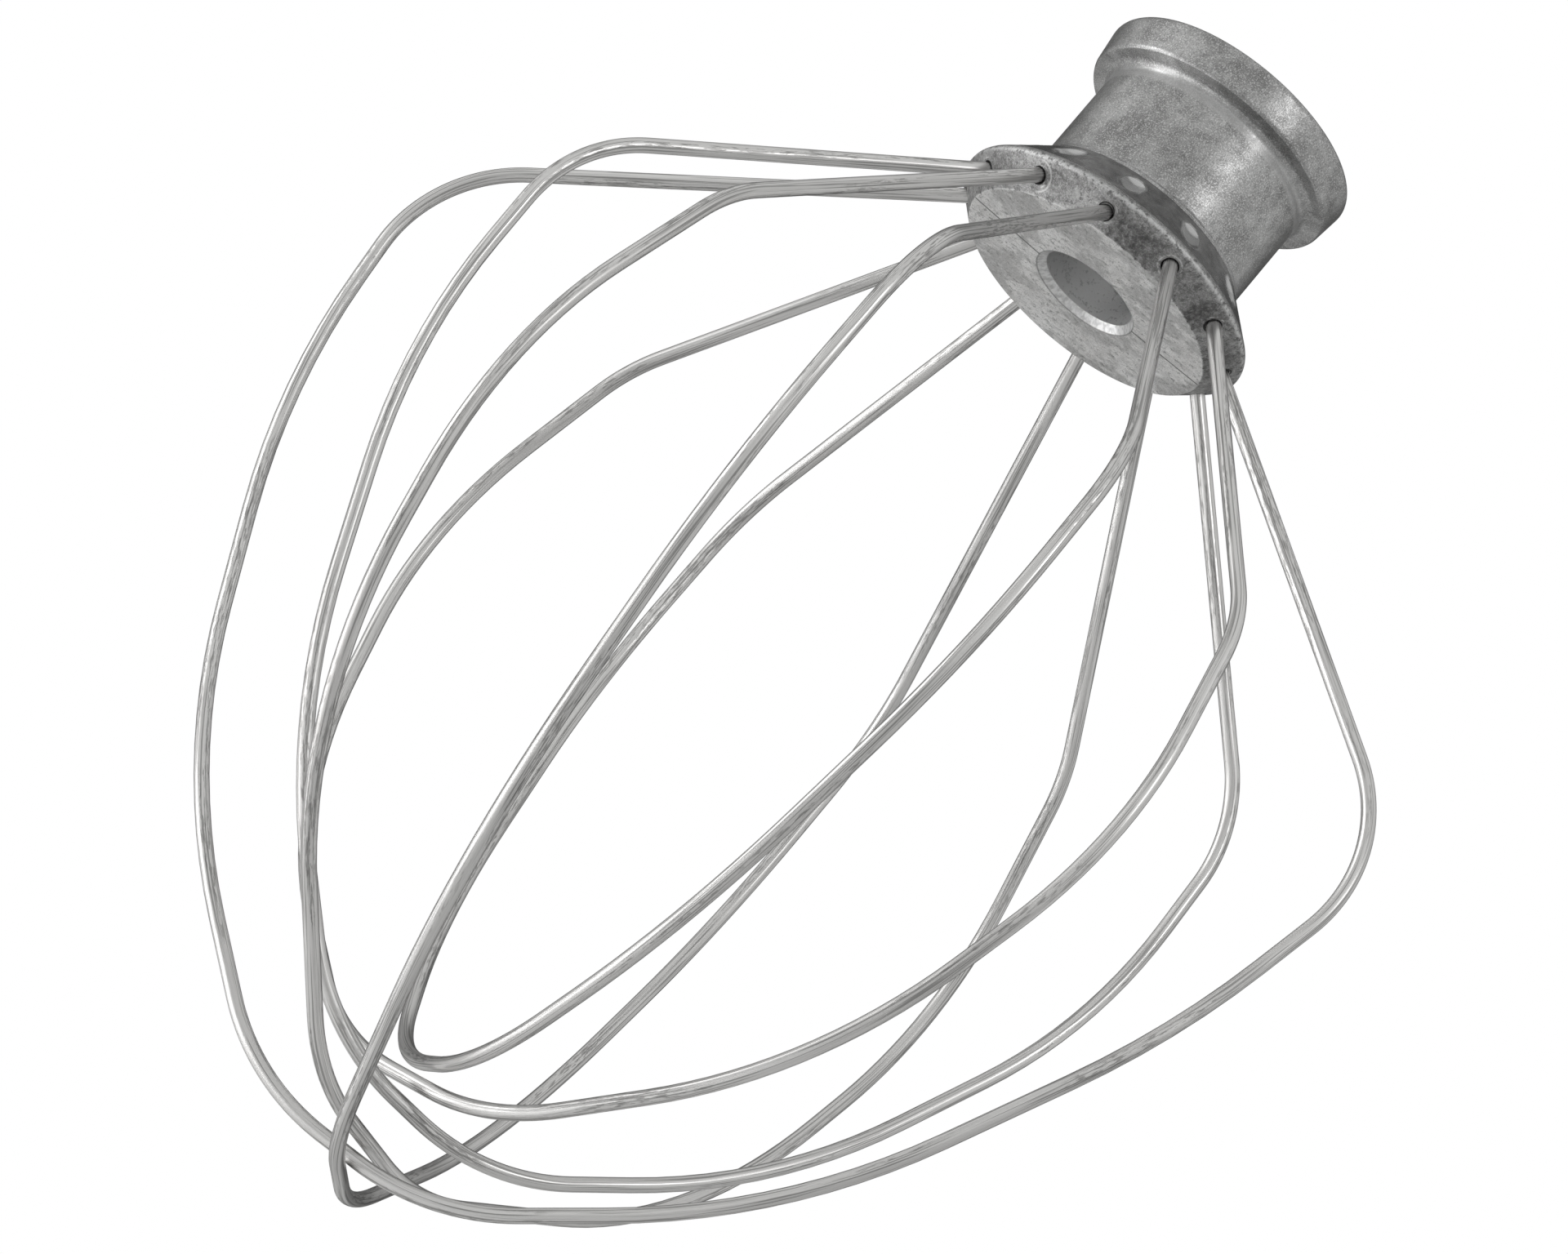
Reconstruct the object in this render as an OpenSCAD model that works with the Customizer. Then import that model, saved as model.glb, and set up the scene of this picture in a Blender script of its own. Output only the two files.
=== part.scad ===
// Wire whip attachment for a planetary mixer: a cast hub that carries six bent wire loops.
// The origin is the mouth of the shaft bore, on the hub's top face. +Z runs up the shaft.
// Each loop lies in its own upright plane, with both ends in opposite holes of the hub.

/* [Shaft bore] */
// Diameter of the bore, a clearance fit on a 12.7 mm drive shaft
bore_d = 12.9; // [12.8:0.05:13.1]
// Chamfer round the lower end of the bore
bore_chamfer = 0.9; // [0.4:0.1:1.5]
// Width of the slot for the shaft's cross pin
slot_w = 5.2; // [4:0.1:6]
// Depth of the slot below the top face
slot_depth = 14; // [10:0.5:16]
// Turn from the slot's middle to the end of its foot, in degrees
slot_turn = 35; // [25:1:45]
// Direction that the slot faces, in degrees
slot_angle = 90; // [0:15:345]

/* [Hub] */
// Height of the hub
hub_h = 30.5; // [28:0.5:34]
// Radius of the barrel
barrel_r = 14.85; // [14.5:0.05:15]
// Radius of the top flange at its lower edge
top_low_r = 17.6; // [17.5:0.1:18]
// Radius of the top flange at its upper edge
top_high_r = 18.2; // [17.6:0.1:19]
// Thickness of the top flange
top_t = 5.2; // [4:0.1:6]
// Radius of the fillet between the barrel and the top flange
neck_fillet = 2; // [1:0.1:2]
// Radius of the flat lower face
face_r = 17.8; // [17:0.1:18.5]
// Radius of the lower flange at its rim
rim_r = 21.3; // [20.5:0.1:22]
// Height of the rim above the lower face
rim_h = 3.9; // [3.5:0.1:4.5]
// Radius of the worn edge of the rim
rim_round = 0.7; // [0.3:0.1:1]
// Radius of the round along the top edge
top_round = 0.9; // [0.3:0.1:1.5]
// Width of the small chamfers at the top of the staked cone and under the top flange
lip = 0.4; // [0.2:0.1:0.4]
// Radius of the round-nosed punch that stakes the wires
punch_r = 3; // [2:0.1:3.5]
// Straight length of its nose, down the slope of the staked cone
punch_length = 1.8; // [1:0.1:2.2]
// Depth of the dents that it leaves
dent_depth = 0.45; // [0.2:0.05:0.6]

/* [Wires] */
// Diameter of the wire
wire_d = 1.9; // [1.6:0.1:2]
// Gap round the wire in its hole
hole_gap = 0.12; // [0.05:0.01:0.2]
// Length of wire inside the hub, from the conical belt inwards
wire_grip = 6; // [4:0.5:7]
// Bend radius at the shoulder of a loop
shoulder_bend = 20; // [12:1:24]
// Bend radius at the belly of a loop
belly_bend = 120; // [80:5:140]
// Bend radius at the heel of a loop, above its tip
heel_bend = 100; // [60:5:120]
// Bend radius at the tip of a loop
tip_bend = 30; // [20:1:36]
// Half of the tip's straight length before it is bent
tip_half = 13; // [10:0.5:15]
// Height of the shoulder, as a share of the way from the hub down to the tip
shoulder_at = 0.26; // [0.22:0.01:0.3]
// Height of the belly, as the same share
belly_at = 0.5; // [0.45:0.01:0.55]
// Height of the heel, as the same share
heel_at = 0.82; // [0.78:0.01:0.84]

/* [Hidden] */

wire_count = 6;
hole_step = 180 / wire_count;
hole_r = wire_d / 2 + hole_gap;
// How far a cut runs past the surface it opens
slack = 1;
// Facets round every circle of the hub
round_sides = 96;

// Facets round a wire, and the radius that gives them the round wire's own area
wire_sides = 12;
ring_r = wire_d / 2 * sqrt(2 * PI / (wire_sides * sin(360 / wire_sides)));
// Largest turn between two rings of a bend, and the shortest straight run worth drawing
bend_step = 6;
shortest_run = 0.01;

// Directions that the conical belt and the staked cone face, up from level
belt_facing = -42;
cone_facing = 45;
// The staked cone rises inwards at 45 degrees from the rim's worn edge: its length along the
// radius, its top, and the dents' place along it, from 0 at the top to 1 at the rim
cone_run = (rim_r - rim_round + rim_round / sqrt(2)) - (barrel_r + lip);
cone_top = [barrel_r + lip, rim_h + rim_round / sqrt(2) + cone_run];
dent_place = 0.5;

// A wire leaves the hub along a line through this point: radius, and drop below the lower face
entry = [20.7, -0.8];
// Distance along that line from the point back to the surface of the conical belt
entry_to_belt = 1.7;

// One row for each loop, from the innermost outwards: the angle of its plane, the drop of its tip
// below the hub, the radius of its shoulder, belly and heel, and its lean. A loop that leans has
// its belly, heel and tip that far towards the angle of its plane.
LOOPS = [
    [120, 126, 53, 54, 38, 0],
    [150, 129, 52, 60, 46, 1],
    [30, 132, 60, 60, 41, 1],
    [60, 138, 56, 67, 54, 0],
    [0, 140.5, 73, 67, 45, -2],
    [90, 143, 74, 74, 54, 0]
];
HALF_BENDS = [shoulder_bend, belly_bend, heel_bend, tip_bend];

// ---- Plane geometry of a bent wire ----

function unit(v) = v / norm(v);
function heading(v) = atan2(v[1], v[0]);
function turn_between(a, b) = atan2(a[0] * b[1] - a[1] * b[0], a * b);
function reversed(list) = [for (i = [len(list) - 1 : -1 : 0]) list[i]];
function mirrored(list) = [for (p = list) [-p[0], p[1]]];

// Bend radius at point i of a path: the second half repeats the first one's bends backwards
function bend_radius(i) = i <= len(HALF_BENDS) ? HALF_BENDS[i - 1] : HALF_BENDS[2 * len(HALF_BENDS) - i];

// Share of the straight run between two bend points that a bend may use
function run_share(first_or_last) = first_or_last ? 0.98 : 0.5;

// Length of straight run that bend i uses on each side of its point
function bend_reach(path, i) =
    let (
        into = path[i] - path[i - 1],
        out = path[i + 1] - path[i],
        wanted = bend_radius(i) * tan(abs(turn_between(into, out)) / 2)
    )
    min(wanted, norm(into) * run_share(i == 1), norm(out) * run_share(i == len(path) - 2));

function plane_angle(row) = row[0];
function tip_drop(row) = row[1];
function belly_r(row) = row[3];
function heel_r(row) = row[4];
function lean_of(row) = row[5];
function shoulder(row) = [row[2], tip_drop(row) * shoulder_at];

// Half of a loop's path, from the bottom of its blind hole to the tip. The side is 1 for the half
// that points along the plane's angle, and -1 for the opposite one.
function half_path(row, side) =
    let (along = unit(shoulder(row) - entry), lean = side * lean_of(row))
    [
        entry - along * (entry_to_belt + wire_grip),
        shoulder(row),
        [belly_r(row) + lean, tip_drop(row) * belly_at],
        [heel_r(row) + lean, tip_drop(row) * heel_at],
        [tip_half + lean, tip_drop(row)]
    ];

// The whole path, from one blind hole round the tip to the opposite one
function loop_path(row) = concat(mirrored(half_path(row, -1)), reversed(half_path(row, 1)));

// ---- Hub outline ----

// Points on an arc about a centre, between two directions
function arc(centre, r, from, to, steps = 6) =
    [for (i = [0 : steps]) let (a = from + (to - from) * i / steps) centre + r * [cos(a), sin(a)]];

module hub_outline() {
    polygon(concat(
        [[bore_d / 2 - slack, 0], [face_r, 0]],
        arc([rim_r - rim_round, rim_h], rim_round, belt_facing, cone_facing),
        [cone_top, cone_top + [0, lip], [barrel_r, cone_top[1] + 2 * lip]],
        arc([barrel_r + neck_fillet, hub_h - top_t - neck_fillet], neck_fillet, 180, 90),
        [[top_low_r - lip, hub_h - top_t], [top_low_r, hub_h - top_t + lip]],
        arc([top_high_r - top_round, hub_h - top_round], top_round, 0, 90),
        [[bore_d / 2 - slack, hub_h]]
    ));
}

// ---- Cuts in the hub ----

module shaft_bore() {
    translate([0, 0, -hub_h - slack])
        cylinder(h = hub_h + 2 * slack, d = bore_d, $fn = round_sides);
    translate([0, 0, -hub_h - slack])
        cylinder(
            h = bore_chamfer + slack,
            r1 = bore_d / 2 + bore_chamfer + slack,
            r2 = bore_d / 2,
            $fn = round_sides
        );
}

// Bayonet slot: straight down from the top face, then round to the foot where the pin rests
module pin_slot() {
    rotate([0, 0, slot_angle]) {
        translate([0, -slot_w / 2, -slot_depth])
            cube([top_high_r + slack, slot_w, slot_depth + slack]);
        translate([0, 0, -slot_depth])
            rotate_extrude(angle = slot_turn, $fn = round_sides)
                translate([slack, 0])
                    square([top_high_r, slot_w]);
    }
}

// Blind hole for one wire end, along the line of its strut
module wire_hole(row) {
    line = shoulder(row) - entry;
    depth = entry_to_belt + wire_grip;
    translate([entry[0], 0, -hub_h - entry[1]])
        rotate([0, 90 + heading(line), 0])
            translate([0, 0, -depth])
                cylinder(h = depth + slack, r = hole_r, $fn = round_sides);
}

// Dent of the punch that closes the upper cone on one wire end
module stake_dent() {
    middle = cone_top + cone_run * dent_place * [1, -1];
    centre = middle + (punch_r - dent_depth) * [cos(cone_facing), sin(cone_facing)];
    translate([centre[0], 0, centre[1] - hub_h])
        rotate([0, 90 + cone_facing, 0]) {
            for (end = [-1, 1])
                translate([0, 0, end * punch_length / 2])
                    sphere(r = punch_r, $fn = round_sides);
            translate([0, 0, -punch_length / 2])
                cylinder(h = punch_length, r = punch_r, $fn = round_sides);
        }
}

module hub() {
    color("darkgray")
        difference() {
            translate([0, 0, -hub_h])
                rotate_extrude($fn = round_sides)
                    hub_outline();
            shaft_bore();
            pin_slot();
            for (row = LOOPS, side = [0, 180])
                rotate([0, 0, plane_angle(row) + side]) wire_hole(row);
            for (i = [0 : 2 * wire_count - 1])
                rotate([0, 0, i * hole_step]) stake_dent();
        }
}

// ---- Wires ----

// Places along one bend, each [x, y, heading]; the first is left out where the last bend ends on it
function bend_places(path, i) =
    let (
        into = unit(path[i] - path[i - 1]),
        out = unit(path[i + 1] - path[i]),
        turn = turn_between(into, out),
        reach = bend_reach(path, i),
        run_left = norm(path[i] - path[i - 1]) - reach - (i == 1 ? 0 : bend_reach(path, i - 1)),
        r = reach / tan(abs(turn) / 2),
        start = path[i] - into * reach,
        centre = start + sign(turn) * r * [-into[1], into[0]],
        steps = ceil(abs(turn) / bend_step)
    )
    [for (k = [run_left < shortest_run ? 1 : 0 : steps])
        let (a = heading(start - centre) + turn * k / steps)
        [centre[0] + r * cos(a), centre[1] + r * sin(a), heading(into) + turn * k / steps]];

// Every place along a path: its two ends and its bends
function path_places(path) =
    let (last = len(path) - 1)
    concat(
        [[path[0][0], path[0][1], heading(path[1] - path[0])]],
        [for (i = [1 : last - 1]) each bend_places(path, i)],
        [[path[last][0], path[last][1], heading(path[last] - path[last - 1])]]
    );

// One ring of wire surface round a place; the path lies in the XZ plane, with drop downwards
function ring(place) =
    [for (k = [0 : wire_sides - 1])
        let (a = 360 * k / wire_sides, out = ring_r * cos(a), across = ring_r * sin(a))
        [place[0] - out * sin(place[2]), across, -(place[1] + out * cos(place[2]))]];

// A wire swept along its path as one closed skin
module swept_wire(path) {
    places = path_places(path);
    last = len(places) - 1;
    n = wire_sides;
    skin = [for (j = [0 : last - 1], k = [0 : n - 1])
        [j * n + k, j * n + (k + 1) % n, (j + 1) * n + (k + 1) % n, (j + 1) * n + k]];
    start_cap = [for (k = [n - 1 : -1 : 0]) k];
    end_cap = [for (k = [0 : n - 1]) last * n + k];
    polyhedron([for (place = places) each ring(place)], concat([start_cap, end_cap], skin));
}

module wire_loop(row) {
    translate([0, 0, -hub_h])
        rotate([0, 0, plane_angle(row)])
            swept_wire(loop_path(row));
}

module wire_1() { color("silver") wire_loop(LOOPS[0]); }
module wire_2() { color("silver") wire_loop(LOOPS[1]); }
module wire_3() { color("silver") wire_loop(LOOPS[2]); }
module wire_4() { color("silver") wire_loop(LOOPS[3]); }
module wire_5() { color("silver") wire_loop(LOOPS[4]); }
module wire_6() { color("silver") wire_loop(LOOPS[5]); }

hub();
wire_1();
wire_2();
wire_3();
wire_4();
wire_5();
wire_6();
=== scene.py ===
import math

import bmesh
import bpy
from mathutils import Matrix, Vector


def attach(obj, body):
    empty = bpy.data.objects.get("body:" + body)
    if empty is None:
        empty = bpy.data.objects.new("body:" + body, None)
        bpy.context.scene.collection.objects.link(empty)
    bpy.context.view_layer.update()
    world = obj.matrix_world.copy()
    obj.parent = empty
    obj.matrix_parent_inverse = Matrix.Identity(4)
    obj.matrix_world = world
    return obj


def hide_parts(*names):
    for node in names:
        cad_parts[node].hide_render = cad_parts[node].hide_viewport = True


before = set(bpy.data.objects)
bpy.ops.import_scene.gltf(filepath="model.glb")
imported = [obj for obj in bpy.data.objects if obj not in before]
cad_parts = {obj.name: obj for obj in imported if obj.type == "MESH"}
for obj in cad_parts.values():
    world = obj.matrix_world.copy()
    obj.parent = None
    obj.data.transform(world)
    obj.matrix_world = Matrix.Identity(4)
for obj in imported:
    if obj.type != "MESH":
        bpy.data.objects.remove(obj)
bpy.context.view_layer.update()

MM = 0.001

# ---- Sizes in mm, the same as the CAD design's ----

HUB_H = 30.5
BORE_R = 6.45
BORE_CHAMFER = 0.9
FACE_R = 17.8
RIM_R = 21.3
RIM_H = 3.9
RIM_ROUND = 0.7
BARREL_R = 14.85
NECK_FILLET = 2.0
TOP_T = 5.2
TOP_LOW_R = 17.6
TOP_HIGH_R = 18.2
LIP = 0.4
DENT_LENGTH = 1.8
DENT_DEPTH = 0.45
DENT_R = 1.58  # half the width that a punch of 3 mm radius opens at this depth
SLOT_W = 5.2
SLOT_DEPTH = 14.0
SLOT_TURN = 35.0
WIRE_R = 0.95
HOLE_R = 1.07
HOLE_STEP = 30.0
WIRE_GRIP = 6.0
ENTRY = Vector((20.7, -0.8))  # a point that each wire's line passes: radius, depth below the lower face
ENTRY_TO_BELT = 1.7
TIP_HALF = 13.0
SHOULDER_AT = 0.26  # the heights of the shoulder, belly and heel, as shares of the tip's drop
BELLY_AT = 0.5
HEEL_AT = 0.82
HALF_BENDS = [20.0, 120.0, 100.0, 30.0]  # bend radius at the shoulder, belly, heel and tip
SLACK = 1.0  # how far a cut runs past the surface that it opens

# Worked out from the sizes above, as [radius, height above the lower face]: the top of the 45-degree
# cone, the middle of a dent on it, and the middle of a hole's mouth in the belt
CONE_RUN = RIM_R - RIM_ROUND + RIM_ROUND / math.sqrt(2) - (BARREL_R + LIP)
CONE_TOP = Vector((BARREL_R + LIP, RIM_H + RIM_ROUND / math.sqrt(2) + CONE_RUN))
DENT_MIDDLE = CONE_TOP + Vector((1, -1)) * CONE_RUN * 0.5
MOUTH = Vector((ENTRY.x - ENTRY_TO_BELT / math.sqrt(2), RIM_H / 2))

# The chamfer's outer radius, and the height where the barrel starts to curve out to the top flange
CHAMFER_R = BORE_R + BORE_CHAMFER
COVE_FOOT = HUB_H - TOP_T - NECK_FILLET

# Name: angle of the plane, drop of the tip, radius of the shoulder, belly and heel, and lean
LOOPS = {
    "wire_1": (120, 126, 53, 54, 38, 0),
    "wire_2": (150, 129, 52, 60, 46, 1),
    "wire_3": (30, 132, 60, 60, 41, 1),
    "wire_4": (60, 138, 56, 67, 54, 0),
    "wire_5": (0, 140.5, 73, 67, 45, -2),
    "wire_6": (90, 143, 74, 74, 54, 0),
}

# Soot on the belt: its direction and its spread to each side in degrees, and how dark it is, up to 1
SOOT = [(285, 14, 0.75), (308, 10, 0.35), (323, 8, 0.8), (352, 16, 0.5), (213, 14, 0.25), (75, 30, 0.5)]

# Directions in degrees: the burr beside one hole, and the two halves of the parting line on the face
BURR_AT = 245
PARTING_AT = (10, 196)


# ---- Outlines with rounded corners ----

def rounded(points, radii, step_angle, closed=False):
    """The points with an arc at each corner: of the given radius, or as large as there is room for."""
    count = len(points)
    corners = range(count) if closed else range(1, count - 1)
    out = [] if closed else [points[0]]
    for i in corners:
        before = points[i - 1] - points[i]
        after = points[(i + 1) % count] - points[i]
        radius = radii[i if closed else i - 1]
        half = before.angle(after) / 2
        if half > math.radians(89.5):
            out.append(points[i])
            continue
        # an arc may use half of a run that it shares, and nearly all of a run at the end of the line
        first, last = (i == 1, i == count - 2) if not closed else (False, False)
        reach = min(
            radius / math.tan(half),
            before.length * (0.98 if first else 0.5),
            after.length * (0.98 if last else 0.5),
        )
        radius = reach * math.tan(half)
        before.normalize()
        after.normalize()
        middle = points[i] + (before + after).normalized() * math.hypot(reach, radius)
        start = points[i] + before * reach - middle
        end = points[i] + after * reach - middle
        a = math.atan2(start.y, start.x)
        turn = (math.atan2(end.y, end.x) - a + math.pi) % (2 * math.pi) - math.pi
        steps = max(2, math.ceil(abs(math.degrees(turn)) / step_angle))
        for k in range(steps + 1):
            b = a + turn * k / steps
            out.append(middle + radius * Vector((math.cos(b), math.sin(b))))
    if not closed:
        out.append(points[-1])
    return out


def resampled(points, step, closed=False):
    """The same line with no run longer than the step."""
    line = points + [points[0]] if closed else points
    out = [line[0]]
    for a, b in zip(line, line[1:]):
        run = (b - a).length
        if run < 1e-6:
            continue
        parts = max(1, math.ceil(run / step))
        out += [a.lerp(b, k / parts) for k in range(1, parts + 1)]
    return out[:-1] if closed else out


def new_object(name, bm):
    """A new object in the scene with the mesh that was being edited."""
    mesh = bpy.data.meshes.new(name)
    bm.to_mesh(mesh)
    bm.free()
    obj = bpy.data.objects.new(name, mesh)
    bpy.context.scene.collection.objects.link(obj)
    return obj


def join_rings(bm, rings):
    """Faces between each ring of points and the next one."""
    for a, b in zip(rings, rings[1:]):
        for k in range(len(a)):
            m = (k + 1) % len(a)
            bm.faces.new((a[k], a[m], b[m], b[k]))


# ---- Wires ----

def shoulder(row):
    """The corner at a loop's shoulder: [radius, depth below the lower face]."""
    return Vector((row[2], row[1] * SHOULDER_AT))


def half_path(row, side):
    """The corners of half a loop, from its end in the hub to its tip."""
    _, drop, _, belly, heel, lean = row
    back = (shoulder(row) - ENTRY).normalized()
    shift = side * lean
    end_gap = 0.05
    return [
        ENTRY - back * (ENTRY_TO_BELT + WIRE_GRIP - end_gap),
        shoulder(row),
        Vector((belly + shift, drop * BELLY_AT)),
        Vector((heel + shift, drop * HEEL_AT)),
        Vector((TIP_HALF + shift, drop)),
    ]


def make_wire(name, row, sides=24):
    """One loop of drawn wire, swept along its path, with the place along and round it as "grain"."""
    path = [Vector((-p.x, p.y)) for p in half_path(row, -1)] + half_path(row, 1)[::-1]
    line = resampled(rounded(path, HALF_BENDS + HALF_BENDS[::-1], 2.5), 1.2)
    angle = row[0]
    turned = Matrix.Rotation(math.radians(angle), 3, "Z")
    bm = bmesh.new()
    grain = bm.verts.layers.float_vector.new("grain")
    rings, along = [], 0.0
    for i, p in enumerate(line):
        before, after = line[max(i - 1, 0)], line[min(i + 1, len(line) - 1)]
        tangent = (after - before).normalized()
        out = Vector((-tangent.y, tangent.x))
        if i:
            along += (p - line[i - 1]).length
        ring = []
        for k in range(sides):
            a = 2 * math.pi * k / sides
            # the draw die and years of use leave slow flats along the wire
            worn = math.sin(2 * a + along * 0.021 + angle) + math.sin(5 * a - along * 0.013)
            r = WIRE_R * (1 - 0.012 * (1 + worn / 2))
            flat = p + out * (r * math.cos(a))
            place = turned @ Vector((flat.x, r * math.sin(a), -flat.y - HUB_H))
            vert = bm.verts.new(place * MM)
            vert[grain] = Vector((math.cos(a), math.sin(a), along * 0.1))
            ring.append(vert)
        rings.append(ring)
    join_rings(bm, rings)
    bm.faces.new(rings[0][::-1])
    bm.faces.new(rings[-1])
    bmesh.ops.recalc_face_normals(bm, faces=bm.faces)
    for face in bm.faces:
        face.smooth = len(face.verts) == 4
    obj = new_object(f"{name}_drawn", bm)
    obj.data.materials.append(steel_wire(name, angle))
    return obj


# ---- Hub ----

def hub_outline():
    """Closed outline [radius, height above the lower face]; each corner has its own small round."""
    neck = HUB_H - TOP_T
    rim_half = RIM_ROUND / 2
    corners = [
        ((BORE_R, BORE_CHAMFER), 0.12),
        ((CHAMFER_R, 0), 0.08),
        ((FACE_R, 0), 0.25),
        ((RIM_R, RIM_H - rim_half), 0.9),
        ((RIM_R - 0.1, RIM_H + rim_half), 0.8),
        ((CONE_TOP.x, CONE_TOP.y), 0.5),
        ((CONE_TOP.x - 0.1, CONE_TOP.y + LIP), 0.15),
        ((BARREL_R, CONE_TOP.y + 2 * LIP), 0.3),
        ((BARREL_R, neck), NECK_FILLET),
        ((TOP_LOW_R - LIP / 2, neck), 0.3),
        ((TOP_LOW_R, neck + LIP), 0.4),
        ((TOP_HIGH_R, HUB_H), 0.9),
        ((BORE_R, HUB_H), 0.25),
    ]
    points = [Vector(p) for p, _ in corners]
    return rounded(points, [r for _, r in corners], 12.0, closed=True)


def dented(r, z, angle):
    """Radius and height after the punch marks above the holes, each with a slightly raised edge."""
    if not (RIM_H + 0.8 < z < CONE_TOP.y and r > BARREL_R + 0.1):
        return r, z
    off = (angle + HOLE_STEP / 2) % HOLE_STEP - HOLE_STEP / 2
    slope = ((r - DENT_MIDDLE.x) - (z - DENT_MIDDLE.y)) / math.sqrt(2)
    d = math.hypot(math.radians(off) * r, max(0.0, abs(slope) - DENT_LENGTH / 2)) / DENT_R
    depth = DENT_DEPTH * (1 - d * d) if d < 1 else 0.0
    edge_height, edge_at, edge_width = 0.07, 1.12, 0.12
    raised = edge_height * math.exp(-(((d - edge_at) / edge_width) ** 2))
    shift = (raised - depth) / math.sqrt(2)
    return r + shift, z + shift


def add_cylinder(bm, start, direction, length, radius, sides=40):
    """Adds a solid cylinder that begins at a point and runs in a direction."""
    turn = direction.to_track_quat("Z", "Y").to_matrix().to_4x4()
    place = Matrix.Translation(start + direction * length / 2) @ turn
    bmesh.ops.create_cone(
        bm,
        cap_ends=True,
        segments=sides,
        radius1=radius,
        radius2=radius,
        depth=length,
        matrix=place,
    )


def prism(name, outline, low, high):
    """An upright solid with the given outline, between two heights above the lower face."""
    bm = bmesh.new()
    bottom = [bm.verts.new((x * MM, y * MM, (low - HUB_H) * MM)) for x, y in outline]
    top = [bm.verts.new((x * MM, y * MM, (high - HUB_H) * MM)) for x, y in outline]
    bm.faces.new(bottom)
    bm.faces.new(top)
    join_rings(bm, [bottom, top])
    bmesh.ops.recalc_face_normals(bm, faces=bm.faces)
    return new_object(name, bm)


def slot_cutters():
    """The straight drop of the bayonet slot, and the turned foot where the pin rests."""
    low = HUB_H - SLOT_DEPTH
    inner, outer, side = 2.0, 20.0, SLOT_W / 2
    drop = [(side, inner), (side, outer), (-side, outer), (-side, inner)]
    turns = [math.radians(90 + SLOT_TURN * k / 12) for k in range(13)]
    rim = [(outer * math.cos(a), outer * math.sin(a)) for a in turns]
    core = [(inner * math.cos(a), inner * math.sin(a)) for a in reversed(turns)]
    return prism("slot_drop", drop, low, HUB_H + SLACK), prism("slot_foot", rim + core, low, low + SLOT_W)


def hole_cutter():
    """One drill for each end of each loop, along the wire's own line into the hub."""
    bm = bmesh.new()
    depth = ENTRY_TO_BELT + WIRE_GRIP
    for row in LOOPS.values():
        line_out = (shoulder(row) - ENTRY).normalized()
        for side in (0, 180):
            turn = Matrix.Rotation(math.radians(row[0] + side), 3, "Z")
            out = turn @ Vector((line_out.x, 0, -line_out.y))
            entry = turn @ Vector((ENTRY.x, 0, -ENTRY.y - HUB_H))
            add_cylinder(bm, (entry - out * depth) * MM, out, (depth + SLACK) * MM, HOLE_R * MM)
    return new_object("hole_cutter", bm)


def cut(obj, cutter):
    """Cuts one object's shape out of another, and deletes the cutter."""
    step = obj.modifiers.new("cut", "BOOLEAN")
    step.operation = "DIFFERENCE"
    step.solver = "MANIFOLD"
    step.object = cutter
    graph = bpy.context.evaluated_depsgraph_get()
    mesh = bpy.data.meshes.new_from_object(obj.evaluated_get(graph))
    obj.modifiers.clear()
    old = obj.data
    obj.data = mesh
    bpy.data.meshes.remove(old)
    bpy.data.objects.remove(cutter)


def make_hub(segments=480, outline_step=0.35):
    """The hub: its outline turned round the axis and dented, then drilled and slotted."""
    line = resampled(hub_outline(), outline_step, closed=True)
    bm = bmesh.new()
    rings = []
    for p in line:
        ring = []
        for k in range(segments):
            a = 2 * math.pi * k / segments
            r, z = dented(p.x, p.y, math.degrees(a))
            ring.append(bm.verts.new(Vector((r * math.cos(a), r * math.sin(a), z - HUB_H)) * MM))
        rings.append(ring)
    join_rings(bm, rings + rings[:1])
    bmesh.ops.recalc_face_normals(bm, faces=bm.faces)
    obj = new_object("hub_cast", bm)
    for cutter in (hole_cutter(), *slot_cutters()):
        cut(obj, cutter)
    obj.data.polygons.foreach_set("use_smooth", [True] * len(obj.data.polygons))
    obj.data.set_sharp_from_angle(angle=math.radians(30))
    obj.data.materials.clear()
    obj.data.materials.append(cast_aluminium())
    return obj


# ---- Materials ----

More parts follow.
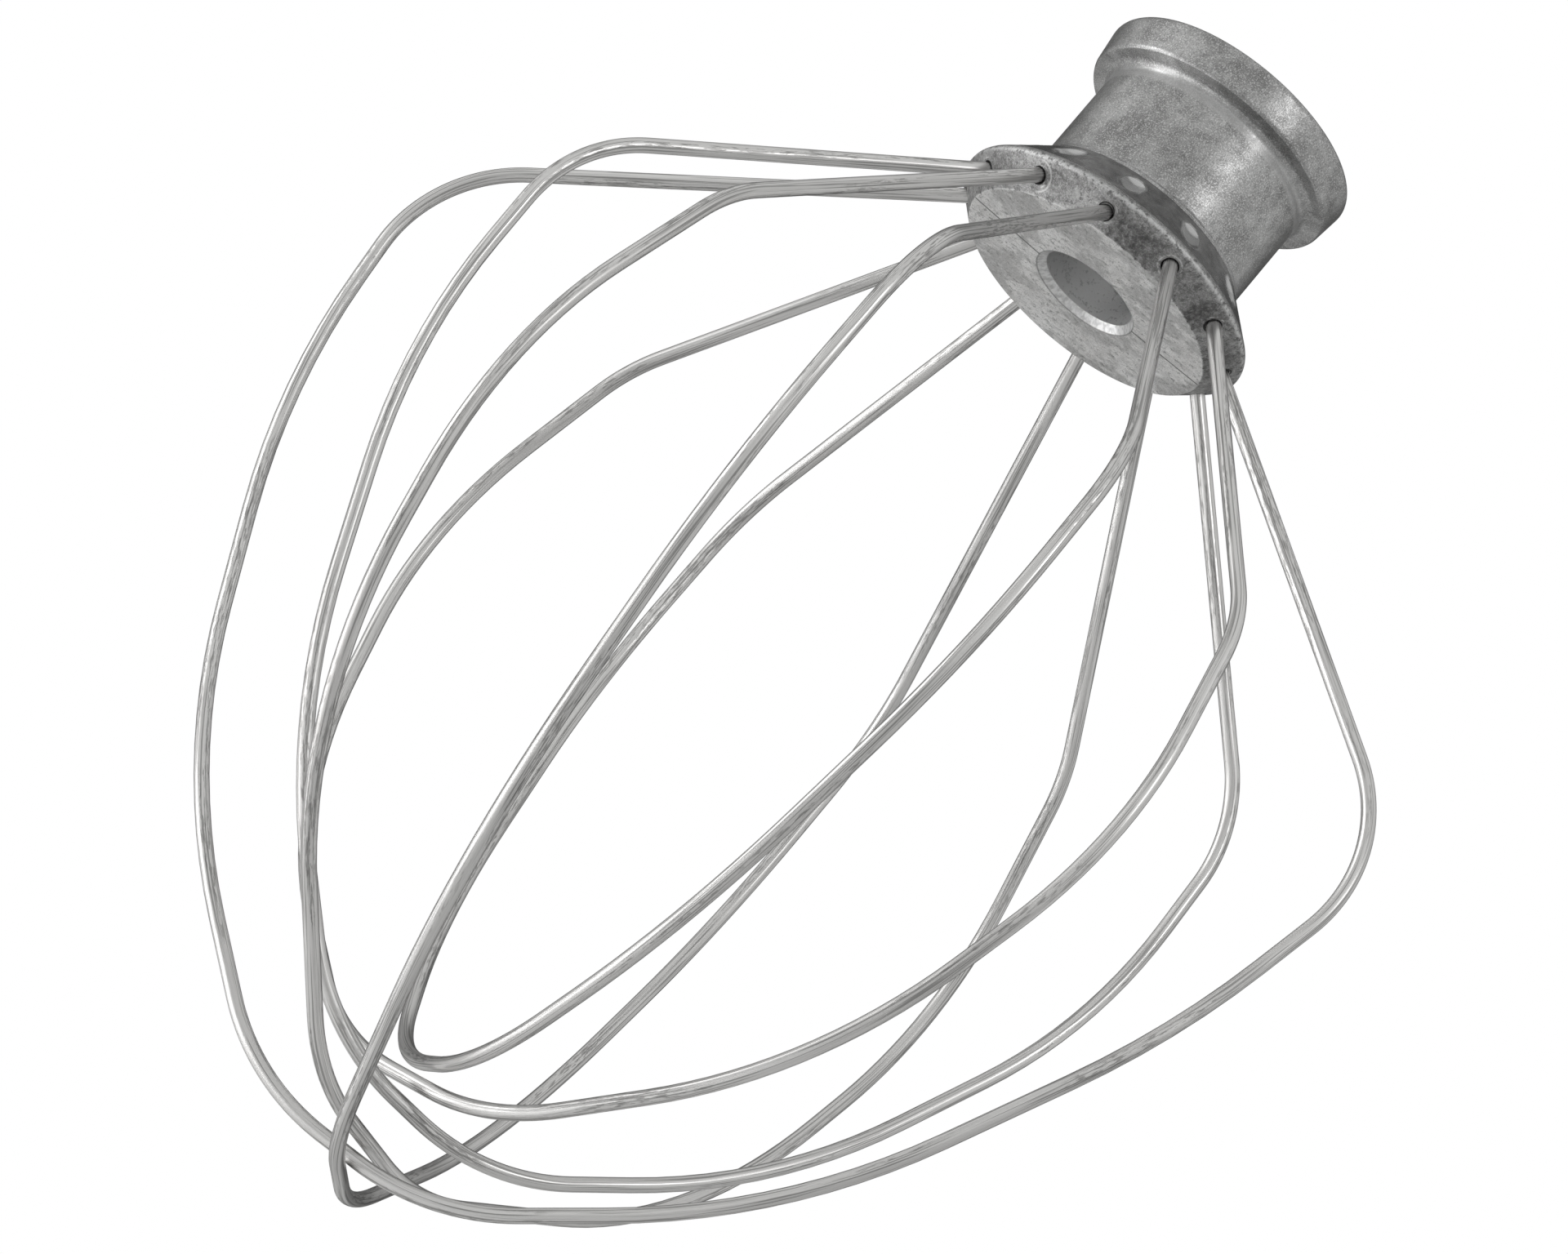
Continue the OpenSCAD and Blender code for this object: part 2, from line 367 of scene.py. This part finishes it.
class Nodes:
    """A short way to write a material's nodes."""

    def __init__(self, name):
        self.material = bpy.data.materials.new(name)
        self.material.use_nodes = True
        self.tree = self.material.node_tree
        self.shader = self.tree.nodes["Principled BSDF"]

    def add(self, kind, **inputs):
        node = self.tree.nodes.new(kind)
        for key, value in inputs.items():
            self.put(node.inputs[key], value)
        return node

    def put(self, socket, value):
        if isinstance(value, bpy.types.NodeSocket):
            self.tree.links.new(value, socket)
        else:
            socket.default_value = value

    def noise(self, where, scale, detail=4.0, roughness=0.6):
        node = self.add("ShaderNodeTexNoise", Scale=scale, Detail=detail, Roughness=roughness)
        self.put(node.inputs["Vector"], where)
        return node.outputs["Fac"]

    def ranged(self, value, low, high, to_low=0.0, to_high=1.0):
        """Moves a value from one range to another and stops it at the ends; low may be above high."""
        node = self.add("ShaderNodeMapRange")
        for index, item in enumerate((value, low, high, to_low, to_high)):
            self.put(node.inputs[index], item)
        return node.outputs[0]

    def math(self, operation, *values):
        node = self.tree.nodes.new("ShaderNodeMath")
        node.operation = operation
        for socket, value in zip(node.inputs, values):
            self.put(socket, value)
        return node.outputs[0]

    def times(self, product, *others):
        for other in others:
            product = self.math("MULTIPLY", product, other)
        return product

    def plus(self, a, b):
        return self.math("ADD", a, b)

    def minus(self, a, b):
        return self.math("SUBTRACT", a, b)

    def largest(self, value, *others):
        for other in others:
            value = self.math("MAXIMUM", value, other)
        return value

    def above(self, value, limit):
        return self.math("GREATER_THAN", value, limit)

    def below(self, value, limit):
        return self.math("LESS_THAN", value, limit)

    def length(self, a, b):
        return self.math("SQRT", self.plus(self.math("POWER", a, 2.0), self.math("POWER", b, 2.0)))

    def line(self, distance, width):
        """1 where a signed distance is near 0, fading to 0 at the width."""
        return self.ranged(self.math("ABSOLUTE", distance), width, width * 0.35)

    def mixed(self, share, a, b):
        node = self.tree.nodes.new("ShaderNodeMix")
        node.data_type = "RGBA"
        self.put(node.inputs["Factor"], share)
        self.put(node.inputs[6], a)
        self.put(node.inputs[7], b)
        return node.outputs[2]

    def attribute(self, name):
        node = self.tree.nodes.new("ShaderNodeAttribute")
        node.attribute_name = name
        return node.outputs["Vector"]

    def stretched(self, where, scale, place=(0.0, 0.0, 0.0)):
        return self.add("ShaderNodeMapping", Vector=where, Scale=scale, Location=place).outputs[0]

    def bump(self, height, strength, distance, normal=None):
        node = self.add("ShaderNodeBump", Height=height, Strength=strength, Distance=distance)
        if normal is not None:
            self.put(node.inputs["Normal"], normal)
        return node.outputs[0]


def grey(value, warm=0.0):
    return (value * (1 + warm), value, value * (1 - warm), 1.0)


def steel_wire(name, angle):
    """Drawn stainless wire: dull, with fine lines along it, and here and there a scuffed band."""
    n = Nodes(f"{name}_steel")
    grain = n.attribute("grain")
    # every wire has its own part of the noises
    place = (angle * 0.37, angle * 0.11, angle * 0.23)
    lines = n.noise(n.stretched(grain, (3.2, 3.2, 0.35), place), 1.6, 2.0, 0.5)
    streaks = n.noise(n.stretched(grain, (1.1, 1.1, 0.12), place), 1.2, 2.0, 0.5)
    bands = n.noise(n.stretched(grain, (0.7, 0.7, 0.4), place), 1.0, 2.0, 0.5)
    torn = n.noise(n.stretched(grain, (2.4, 2.4, 3.0), place), 1.8, 3.0, 0.6)
    scuffed = n.times(n.ranged(bands, 0.51, 0.58), n.ranged(torn, 0.5, 0.58))
    colour = n.mixed(n.ranged(streaks, 0.36, 0.64), grey(0.65, 0.012), grey(0.79, 0.01))
    colour = n.mixed(n.ranged(lines, 0.53, 0.61, 0.0, 0.75), colour, grey(0.25, 0.012))
    colour = n.mixed(n.ranged(lines, 0.42, 0.34, 0.0, 0.5), colour, grey(0.8, 0.008))
    colour = n.mixed(n.times(scuffed, 0.6), colour, grey(0.16, 0.02))
    n.put(n.shader.inputs["Base Color"], colour)
    n.shader.inputs["Metallic"].default_value = 0.95
    n.put(n.shader.inputs["Roughness"], n.ranged(streaks, 0.3, 0.7, 0.36, 0.27))
    fine = n.bump(lines, 0.08, 0.00001)
    n.put(n.shader.inputs["Normal"], n.bump(scuffed, 0.25, 0.00003, fine))
    return n.material


class HubNodes(Nodes):
    """The nodes of the hub's material, with where each point is, in mm, and four noises."""

    def __init__(self, name):
        super().__init__(name)
        self.where = self.add("ShaderNodeTexCoord").outputs["Object"]
        split = self.add("ShaderNodeSeparateXYZ", Vector=self.stretched(self.where, (1 / MM,) * 3))
        self.x, self.y = split.outputs["X"], split.outputs["Y"]
        self.height = self.plus(split.outputs["Z"], HUB_H)
        self.r = self.length(self.x, self.y)

        self.clouds = self.noise(self.where, 170.0, 4.0, 0.6)
        self.mottle = self.noise(self.where, 700.0, 3.0, 0.6)
        self.coarse = self.noise(self.where, 1500.0, 4.0, 0.7)
        self.grain = self.noise(self.where, 5600.0, 1.0, 0.6)

        # 1 on one surface of the hub and 0 on the others; the small amounts leave room for rounding
        belt, cone = self.between(0.02, RIM_H + 0.5), self.between(RIM_H + 0.75, CONE_TOP.y)
        self.on_belt = self.times(belt, self.above(self.r, FACE_R - 0.1))
        self.on_cone = self.times(cone, self.above(self.r, BARREL_R + 0.2))
        self.on_face = self.times(self.below(self.height, 0.03), self.above(self.r, CHAMFER_R))
        bore_start = BORE_CHAMFER + 0.03
        self.on_chamfer = self.times(self.below(self.height, bore_start), self.below(self.r, CHAMFER_R))
        self.in_bore = self.times(self.above(self.height, bore_start), self.below(self.r, BORE_R + 0.1))
        self.on_top = self.above(self.height, HUB_H - 0.05)

        # distances on the flange's two slopes: to the side of the nearest hole, down the cone from the
        # dent's middle, from the dent's axis in dent radii, and from the middle of the hole's mouth
        turned = self.math("MULTIPLY_ADD", self.math("ARCTAN2", self.y, self.x), 180 / math.pi, 360.0)
        self.beside = self.times(self.math("PINGPONG", turned, HOLE_STEP / 2), math.pi / 180, self.r)
        self.down_cone = self.slope(DENT_MIDDLE, -45)
        past = self.largest(self.minus(self.math("ABSOLUTE", self.down_cone), DENT_LENGTH / 2), 0.0)
        self.dent = self.math("DIVIDE", self.length(self.beside, past), DENT_R)
        self.mouth = self.length(self.beside, self.slope(MOUTH, 45))

    def between(self, low, high):
        """1 between two heights."""
        return self.times(self.above(self.height, low), self.below(self.height, high))

    def slope(self, start, tilt):
        """Distance from a point [radius, height], measured along a slope through it."""
        out = self.times(self.minus(self.r, start.x), math.cos(math.radians(tilt)))
        up = self.times(self.minus(self.height, start.y), math.sin(math.radians(tilt)))
        return self.plus(out, up)

    def ahead(self, angle):
        """Distance from the axis in one direction."""
        a = math.radians(angle)
        return self.plus(self.times(self.x, math.cos(a)), self.times(self.y, math.sin(a)))

    def toward(self, angle, spread):
        """1 in one direction from the axis, fading to 0 at the spread to each side of it."""
        share = self.math("DIVIDE", self.ahead(angle), self.r)
        return self.ranged(share, math.cos(math.radians(spread)), math.cos(math.radians(spread * 0.4)))

    def ray(self, angle, width):
        """1 on a straight line out from the axis."""
        return self.times(self.line(self.ahead(angle + 90), width), self.above(self.ahead(angle), 0.0))


def cast_skin(n):
    """Clouds, mottling and fine grain, a painted highlight band in the cove, pitted and torn on the belt.
    """
    skin = n.mixed(n.ranged(n.clouds, 0.36, 0.64), grey(0.25, 0.006), grey(0.47, 0.002))
    skin = n.mixed(n.ranged(n.mottle, 0.5, 0.7, 0.0, 0.35), skin, grey(0.55, 0.004))
    skin = n.mixed(n.ranged(n.mottle, 0.46, 0.34, 0.0, 0.3), skin, grey(0.18, 0.004))
    skin = n.mixed(n.ranged(n.grain, 0.55, 0.66, 0.0, 0.5), skin, grey(0.85))
    skin = n.mixed(n.ranged(n.grain, 0.45, 0.35, 0.0, 0.4), skin, grey(0.14, 0.01))
    # painted highlight: a lighter band low in the cove under the top flange, where a lamp's reflection
    # falls
    cove_highlight = n.ranged(n.height, COVE_FOOT - 0.4, COVE_FOOT)
    cove_highlight = n.times(cove_highlight, n.ranged(n.height, COVE_FOOT + 1.7, COVE_FOOT + 0.9))
    skin = n.mixed(n.times(cove_highlight, 0.6), skin, grey(0.56, 0.002))
    pits = n.times(n.on_belt, n.ranged(n.coarse, 0.47, 0.36))
    skin = n.mixed(n.times(pits, 0.75), skin, grey(0.08, 0.01))
    torn = n.times(n.on_belt, n.ranged(n.coarse, 0.54, 0.64))
    skin = n.mixed(n.times(torn, 0.5), skin, grey(0.75, 0.004))
    return n.mixed(n.times(n.on_belt, 0.35), skin, grey(0.2, 0.008))


def staked_cone(n):
    """Dark and glossy; each dent floor is lightened as a painted highlight, with a painted shadow
    crescent at its lower end.
    """
    cone = n.mixed(n.ranged(n.mottle, 0.35, 0.65), grey(0.2, 0.004), grey(0.34, 0.004))
    dent_floor = n.below(n.dent, 0.95)
    # painted highlight: the dent floors are made light
    cone = n.mixed(n.times(dent_floor, 0.85), cone, grey(0.66))
    # painted shadow: a dark crescent at each dent's lower end, where a recess would be in shade
    dent_shadow = n.ranged(n.length(n.beside, n.plus(n.down_cone, 0.4)), 1.35, 1.65)
    dent_shadow = n.times(dent_shadow, n.ranged(n.down_cone, 0.2, 0.9), dent_floor)
    return n.mixed(dent_shadow, cone, grey(0.2))


def soot_on_belt(n):
    """How sooty each point is: in some directions, on the lower part of the belt, in coarse specks."""
    soot = n.largest(*[n.times(n.toward(angle, spread), dark) for angle, spread, dark in SOOT])
    low_belt = n.ranged(n.r, RIM_R - 0.2, RIM_R - 1.3)
    return n.times(soot, low_belt, n.on_belt, n.ranged(n.coarse, 0.66, 0.4, 0.45, 1.0))


def wear_and_edge_highlights(n):
    """How bright each point is: the rim, the top of the cone, the face's hem and the dents' lips are
    partly rubbed and partly painted highlight; the burrs are rubbed.
    """
    # the rim, collar, hem and dent-lip lines are partly worn metal and partly painted highlight
    rim = n.times(n.line(n.minus(n.height, RIM_H - 0.2), 0.4), n.above(n.r, RIM_R - RIM_ROUND))
    collar = n.line(n.minus(n.height, CONE_TOP.y + LIP * 1.5), 0.3)
    collar = n.times(collar, n.below(n.r, BARREL_R + 1.0))
    hem = n.line(n.length(n.minus(n.r, FACE_R), n.height), 0.22)
    edges = n.times(n.largest(rim, collar, hem), n.ranged(n.coarse, 0.4, 0.52))
    dent_edge = n.times(n.on_cone, n.line(n.minus(n.dent, 1.02), 0.16), 0.5)
    burrs = n.times(n.line(n.minus(n.mouth, HOLE_R + 0.4), 0.14), n.ranged(n.mottle, 0.5, 0.6))
    burr = n.times(n.line(n.minus(n.mouth, HOLE_R + 0.9), 0.16), n.toward(BURR_AT, 6))
    return n.largest(edges, dent_edge, n.times(n.on_belt, n.largest(burrs, burr)))


def machined_face(n):
    """Milled flat, with stained patches, fine specks and the mould's parting line across it."""
    milled = n.noise(n.stretched(n.where, (160.0, 1900.0, 160.0)), 1.0, 2.0, 0.5)
    patches = n.noise(n.where, 150.0, 3.0, 0.6)
    face = n.mixed(n.ranged(n.clouds, 0.35, 0.65), grey(0.77, 0.01), grey(0.9, 0.004))
    face = n.mixed(n.ranged(patches, 0.49, 0.55, 0.0, 0.6), face, grey(0.4, 0.006))
    face = n.mixed(n.ranged(n.mottle, 0.5, 0.66, 0.0, 0.35), face, grey(0.46, 0.006))
    face = n.mixed(n.ranged(milled, 0.55, 0.68, 0.0, 0.3), face, grey(0.36))
    face = n.mixed(n.ranged(n.coarse, 0.54, 0.7, 0.0, 0.5), face, grey(0.95))
    specks = n.times(n.ranged(n.coarse, 0.48, 0.37), n.ranged(n.mottle, 0.6, 0.42))
    face = n.mixed(n.times(specks, 0.7), face, grey(0.2))
    face = n.mixed(n.ranged(n.grain, 0.46, 0.34, 0.0, 0.45), face, grey(0.16))
    for angle in PARTING_AT:
        face = n.mixed(n.times(n.ray(angle, 0.2), 0.9), face, grey(0.05))
    return face


def turned_chamfer(n):
    """Fine ridges across the chamfer."""
    ridges = n.noise(n.stretched(n.where, (1900.0, 1900.0, 200.0)), 1.0, 2.0, 0.5)
    return n.mixed(n.ranged(ridges, 0.35, 0.6), grey(0.5), grey(0.74))


def bore_wall(n):
    """Bright, with painted shade making it a little darker on one side, and specked."""
    # painted light and shade: lighter towards +x and darker towards -x, as light falls into the bore from
    # one side
    wall = n.mixed(n.ranged(n.x, -5.5, 0.0), grey(0.7), grey(1.0))
    return n.mixed(n.ranged(n.coarse, 0.45, 0.36, 0.0, 0.5), wall, grey(0.35))


def cast_aluminium():
    """Tumbled die casting: fine grain, a machined face, a glossy staked cone, soot on the belt and
    painted shadow round the holes.
    """
    n = HubNodes("hub_cast_aluminium")
    soot = soot_on_belt(n)
    # painted shadow: a near-black ring at each hole's mouth, standing in for the shade in the gap round
    # the wire
    hole_gap_shadow = n.times(n.on_belt, n.line(n.minus(n.mouth, HOLE_R), 0.13))
    bore_edge = n.line(n.length(n.minus(n.r, CHAMFER_R), n.height), 0.16)
    colour = n.mixed(n.on_cone, cast_skin(n), staked_cone(n))
    colour = n.mixed(soot, colour, grey(0.09, 0.01))
    colour = n.mixed(hole_gap_shadow, colour, grey(0.02))
    # lighter edges, partly wear and partly painted highlight
    colour = n.mixed(n.times(wear_and_edge_highlights(n), 0.6), colour, grey(0.75))
    colour = n.mixed(n.on_face, colour, machined_face(n))
    colour = n.mixed(n.on_chamfer, colour, turned_chamfer(n))
    colour = n.mixed(n.times(bore_edge, 0.6), colour, grey(0.15))
    colour = n.mixed(n.in_bore, colour, bore_wall(n))
    n.put(n.shader.inputs["Base Color"], colour)
    n.shader.inputs["Metallic"].default_value = 0.9

    rough = n.ranged(n.mottle, 0.3, 0.7, 0.4, 0.3)
    for surface, change in ((n.on_cone, -0.12), (n.on_belt, 0.12), (n.on_top, 0.3), (soot, 0.25)):
        rough = n.plus(rough, n.times(surface, change))
    n.put(n.shader.inputs["Roughness"], rough)
    pitted = n.bump(n.times(n.on_belt, n.coarse), 0.8, 0.00012)
    n.put(n.shader.inputs["Normal"], n.bump(n.grain, 0.5, 0.00003, pitted))
    return n.material


def pale_floor():
    """Matt board with very faint, wide clouds."""
    n = Nodes("pale_floor")
    where = n.add("ShaderNodeTexCoord").outputs["Object"]
    n.put(n.shader.inputs["Base Color"], n.mixed(n.noise(where, 2.0), grey(0.8), grey(0.84)))
    n.shader.inputs["Roughness"].default_value = 0.8
    return n.material


# ---- Stage, light and camera, in metres ----

HUB_MIDDLE = (0, 0, -0.015)
FLOOR_Z = -0.75


def make_floor():
    """A wide floor well below the object."""
    bm = bmesh.new()
    bmesh.ops.create_grid(bm, x_segments=8, y_segments=8, size=12.0)
    floor = new_object("floor", bm)
    floor.location = (0, 0, FLOOR_Z)
    floor.data.materials.append(pale_floor())


def make_world():
    """White behind the object; what the metal mirrors is a room, lighter to one side."""
    world = bpy.data.worlds.new("studio")
    world.use_nodes = True
    tree = world.node_tree
    tree.nodes.clear()
    where = tree.nodes.new("ShaderNodeTexCoord").outputs["Generated"]

    def lobe(direction, start, end, low, high):
        """Goes from one value to another as a ray turns towards a direction."""
        dot = tree.nodes.new("ShaderNodeVectorMath")
        dot.operation = "DOT_PRODUCT"
        tree.links.new(where, dot.inputs[0])
        dot.inputs[1].default_value = Vector(direction).normalized()
        ramp = tree.nodes.new("ShaderNodeMapRange")
        tree.links.new(dot.outputs["Value"], ramp.inputs[0])
        for index, value in enumerate((start, end, low, high), 1):
            ramp.inputs[index].default_value = value
        return ramp.outputs[0]

    light = lobe((-0.8, -0.2, 0.4), -0.2, 0.95, 0.63, 0.7)
    dark = lobe((-0.2, 0.92, 0.3), 0.5, 0.88, 1.0, 0.1)
    strength = tree.nodes.new("ShaderNodeMath")
    strength.operation = "MULTIPLY"
    tree.links.new(light, strength.inputs[0])
    tree.links.new(dark, strength.inputs[1])
    room = tree.nodes.new("ShaderNodeBackground")
    room.inputs["Color"].default_value = (0.995, 1.0, 0.99, 1.0)
    tree.links.new(strength.outputs[0], room.inputs["Strength"])
    white = tree.nodes.new("ShaderNodeBackground")
    white.inputs["Color"].default_value = (1.0, 1.0, 1.0, 1.0)
    path = tree.nodes.new("ShaderNodeLightPath")
    mix = tree.nodes.new("ShaderNodeMixShader")
    out = tree.nodes.new("ShaderNodeOutputWorld")
    tree.links.new(path.outputs["Is Camera Ray"], mix.inputs[0])
    tree.links.new(room.outputs[0], mix.inputs[1])
    tree.links.new(white.outputs[0], mix.inputs[2])
    tree.links.new(mix.outputs[0], out.inputs[0])
    bpy.context.scene.world = world


def make_light(name, place, aim, size, power):
    """A round soft lamp of a size across, turned from its place towards a point."""
    data = bpy.data.lights.new(name, "AREA")
    data.shape = "DISK"
    data.size = size
    data.energy = power
    lamp = bpy.data.objects.new(name, data)
    lamp.location = place
    lamp.rotation_euler = (Vector(aim) - Vector(place)).to_track_quat("-Z", "Y").to_euler()
    bpy.context.scene.collection.objects.link(lamp)


def make_camera():
    """Below and in front of the object, turned so that the hub is at the upper right."""
    data = bpy.data.cameras.new("camera")
    data.lens = 125.7
    data.sensor_width = 36.0
    data.clip_start = 0.01
    camera = bpy.data.objects.new("camera", data)
    place, aim = Vector((0.1403, -0.6043, -0.2929)), Vector((-0.0053, 0.0151, -0.0832))
    forward = (aim - place).normalized()
    level = forward.cross(Vector((0, 0, 1))).normalized()
    up = level.cross(forward)
    roll = math.radians(40.24)
    right = level * math.cos(roll) + up * math.sin(roll)
    top = right.cross(forward)
    turn = Matrix((right, top, -forward)).transposed()
    camera.matrix_world = Matrix.Translation(place) @ turn.to_4x4()
    bpy.context.scene.collection.objects.link(camera)
    bpy.context.scene.camera = camera


make_camera()
make_world()
make_floor()
make_light("key", (0.53, -0.58, 0.25), HUB_MIDDLE, 0.16, 0.42)
make_light("left", (-0.82, -0.24, -0.09), HUB_MIDDLE, 0.42, 1.1)
make_light("floor_left", (-1.3, -0.3, -0.2), (-1.3, -0.3, FLOOR_Z), 1.3, 18.0)
bpy.context.scene.view_settings.view_transform = "Standard"

hub = make_hub()
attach(hub, "root")
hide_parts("hub")
for wire_name, wire_row in LOOPS.items():
    wire = make_wire(wire_name, wire_row)
    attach(wire, "root")
    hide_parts(wire_name)
